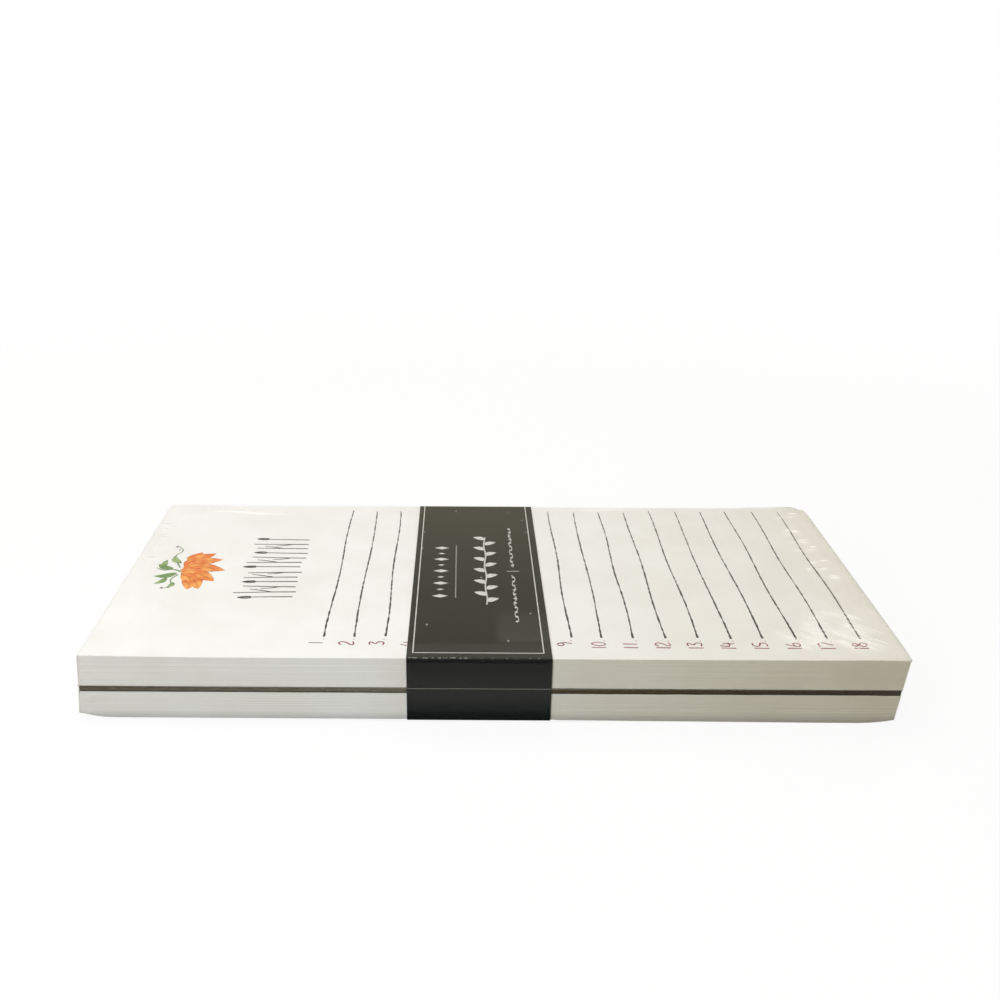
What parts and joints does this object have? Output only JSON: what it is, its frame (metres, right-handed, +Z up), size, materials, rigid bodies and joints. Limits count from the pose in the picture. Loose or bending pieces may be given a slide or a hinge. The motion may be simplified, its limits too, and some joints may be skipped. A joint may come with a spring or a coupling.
{
  "type": "notepad set",
  "caption": "Two ruled list pads lying back board to back board, held by a dark printed paper belly band and sealed in clear shrink film.",
  "frame": {"origin": "centre of the underside of the film, which rests on the table", "axes": "+X along the pads from the glued head to the loose foot, -Y the margin side with the numerals, +Z up through the upper pad's first page"},
  "size_m": [0.2375, 0.109, 0.0219],
  "materials": {
    "sheet_paper": "uncoated ruled writing paper",
    "backing_board": "dark brown chipboard",
    "padding_glue": "dried white padding glue",
    "band_paper": "satin paper printed near black",
    "lap_glue": "dried clear adhesive",
    "clear_film": "clear glossy shrink film"
  },
  "bodies": {
    "root": {"upper_sheets": "sheet_paper", "upper_backing_board": "backing_board", "upper_head_glue": "padding_glue", "lower_sheets": "sheet_paper", "lower_backing_board": "backing_board", "lower_head_glue": "padding_glue", "belly_band": "band_paper", "band_lap_glue": "lap_glue", "shrink_film": "clear_film"}
  },
  "joints": []
}
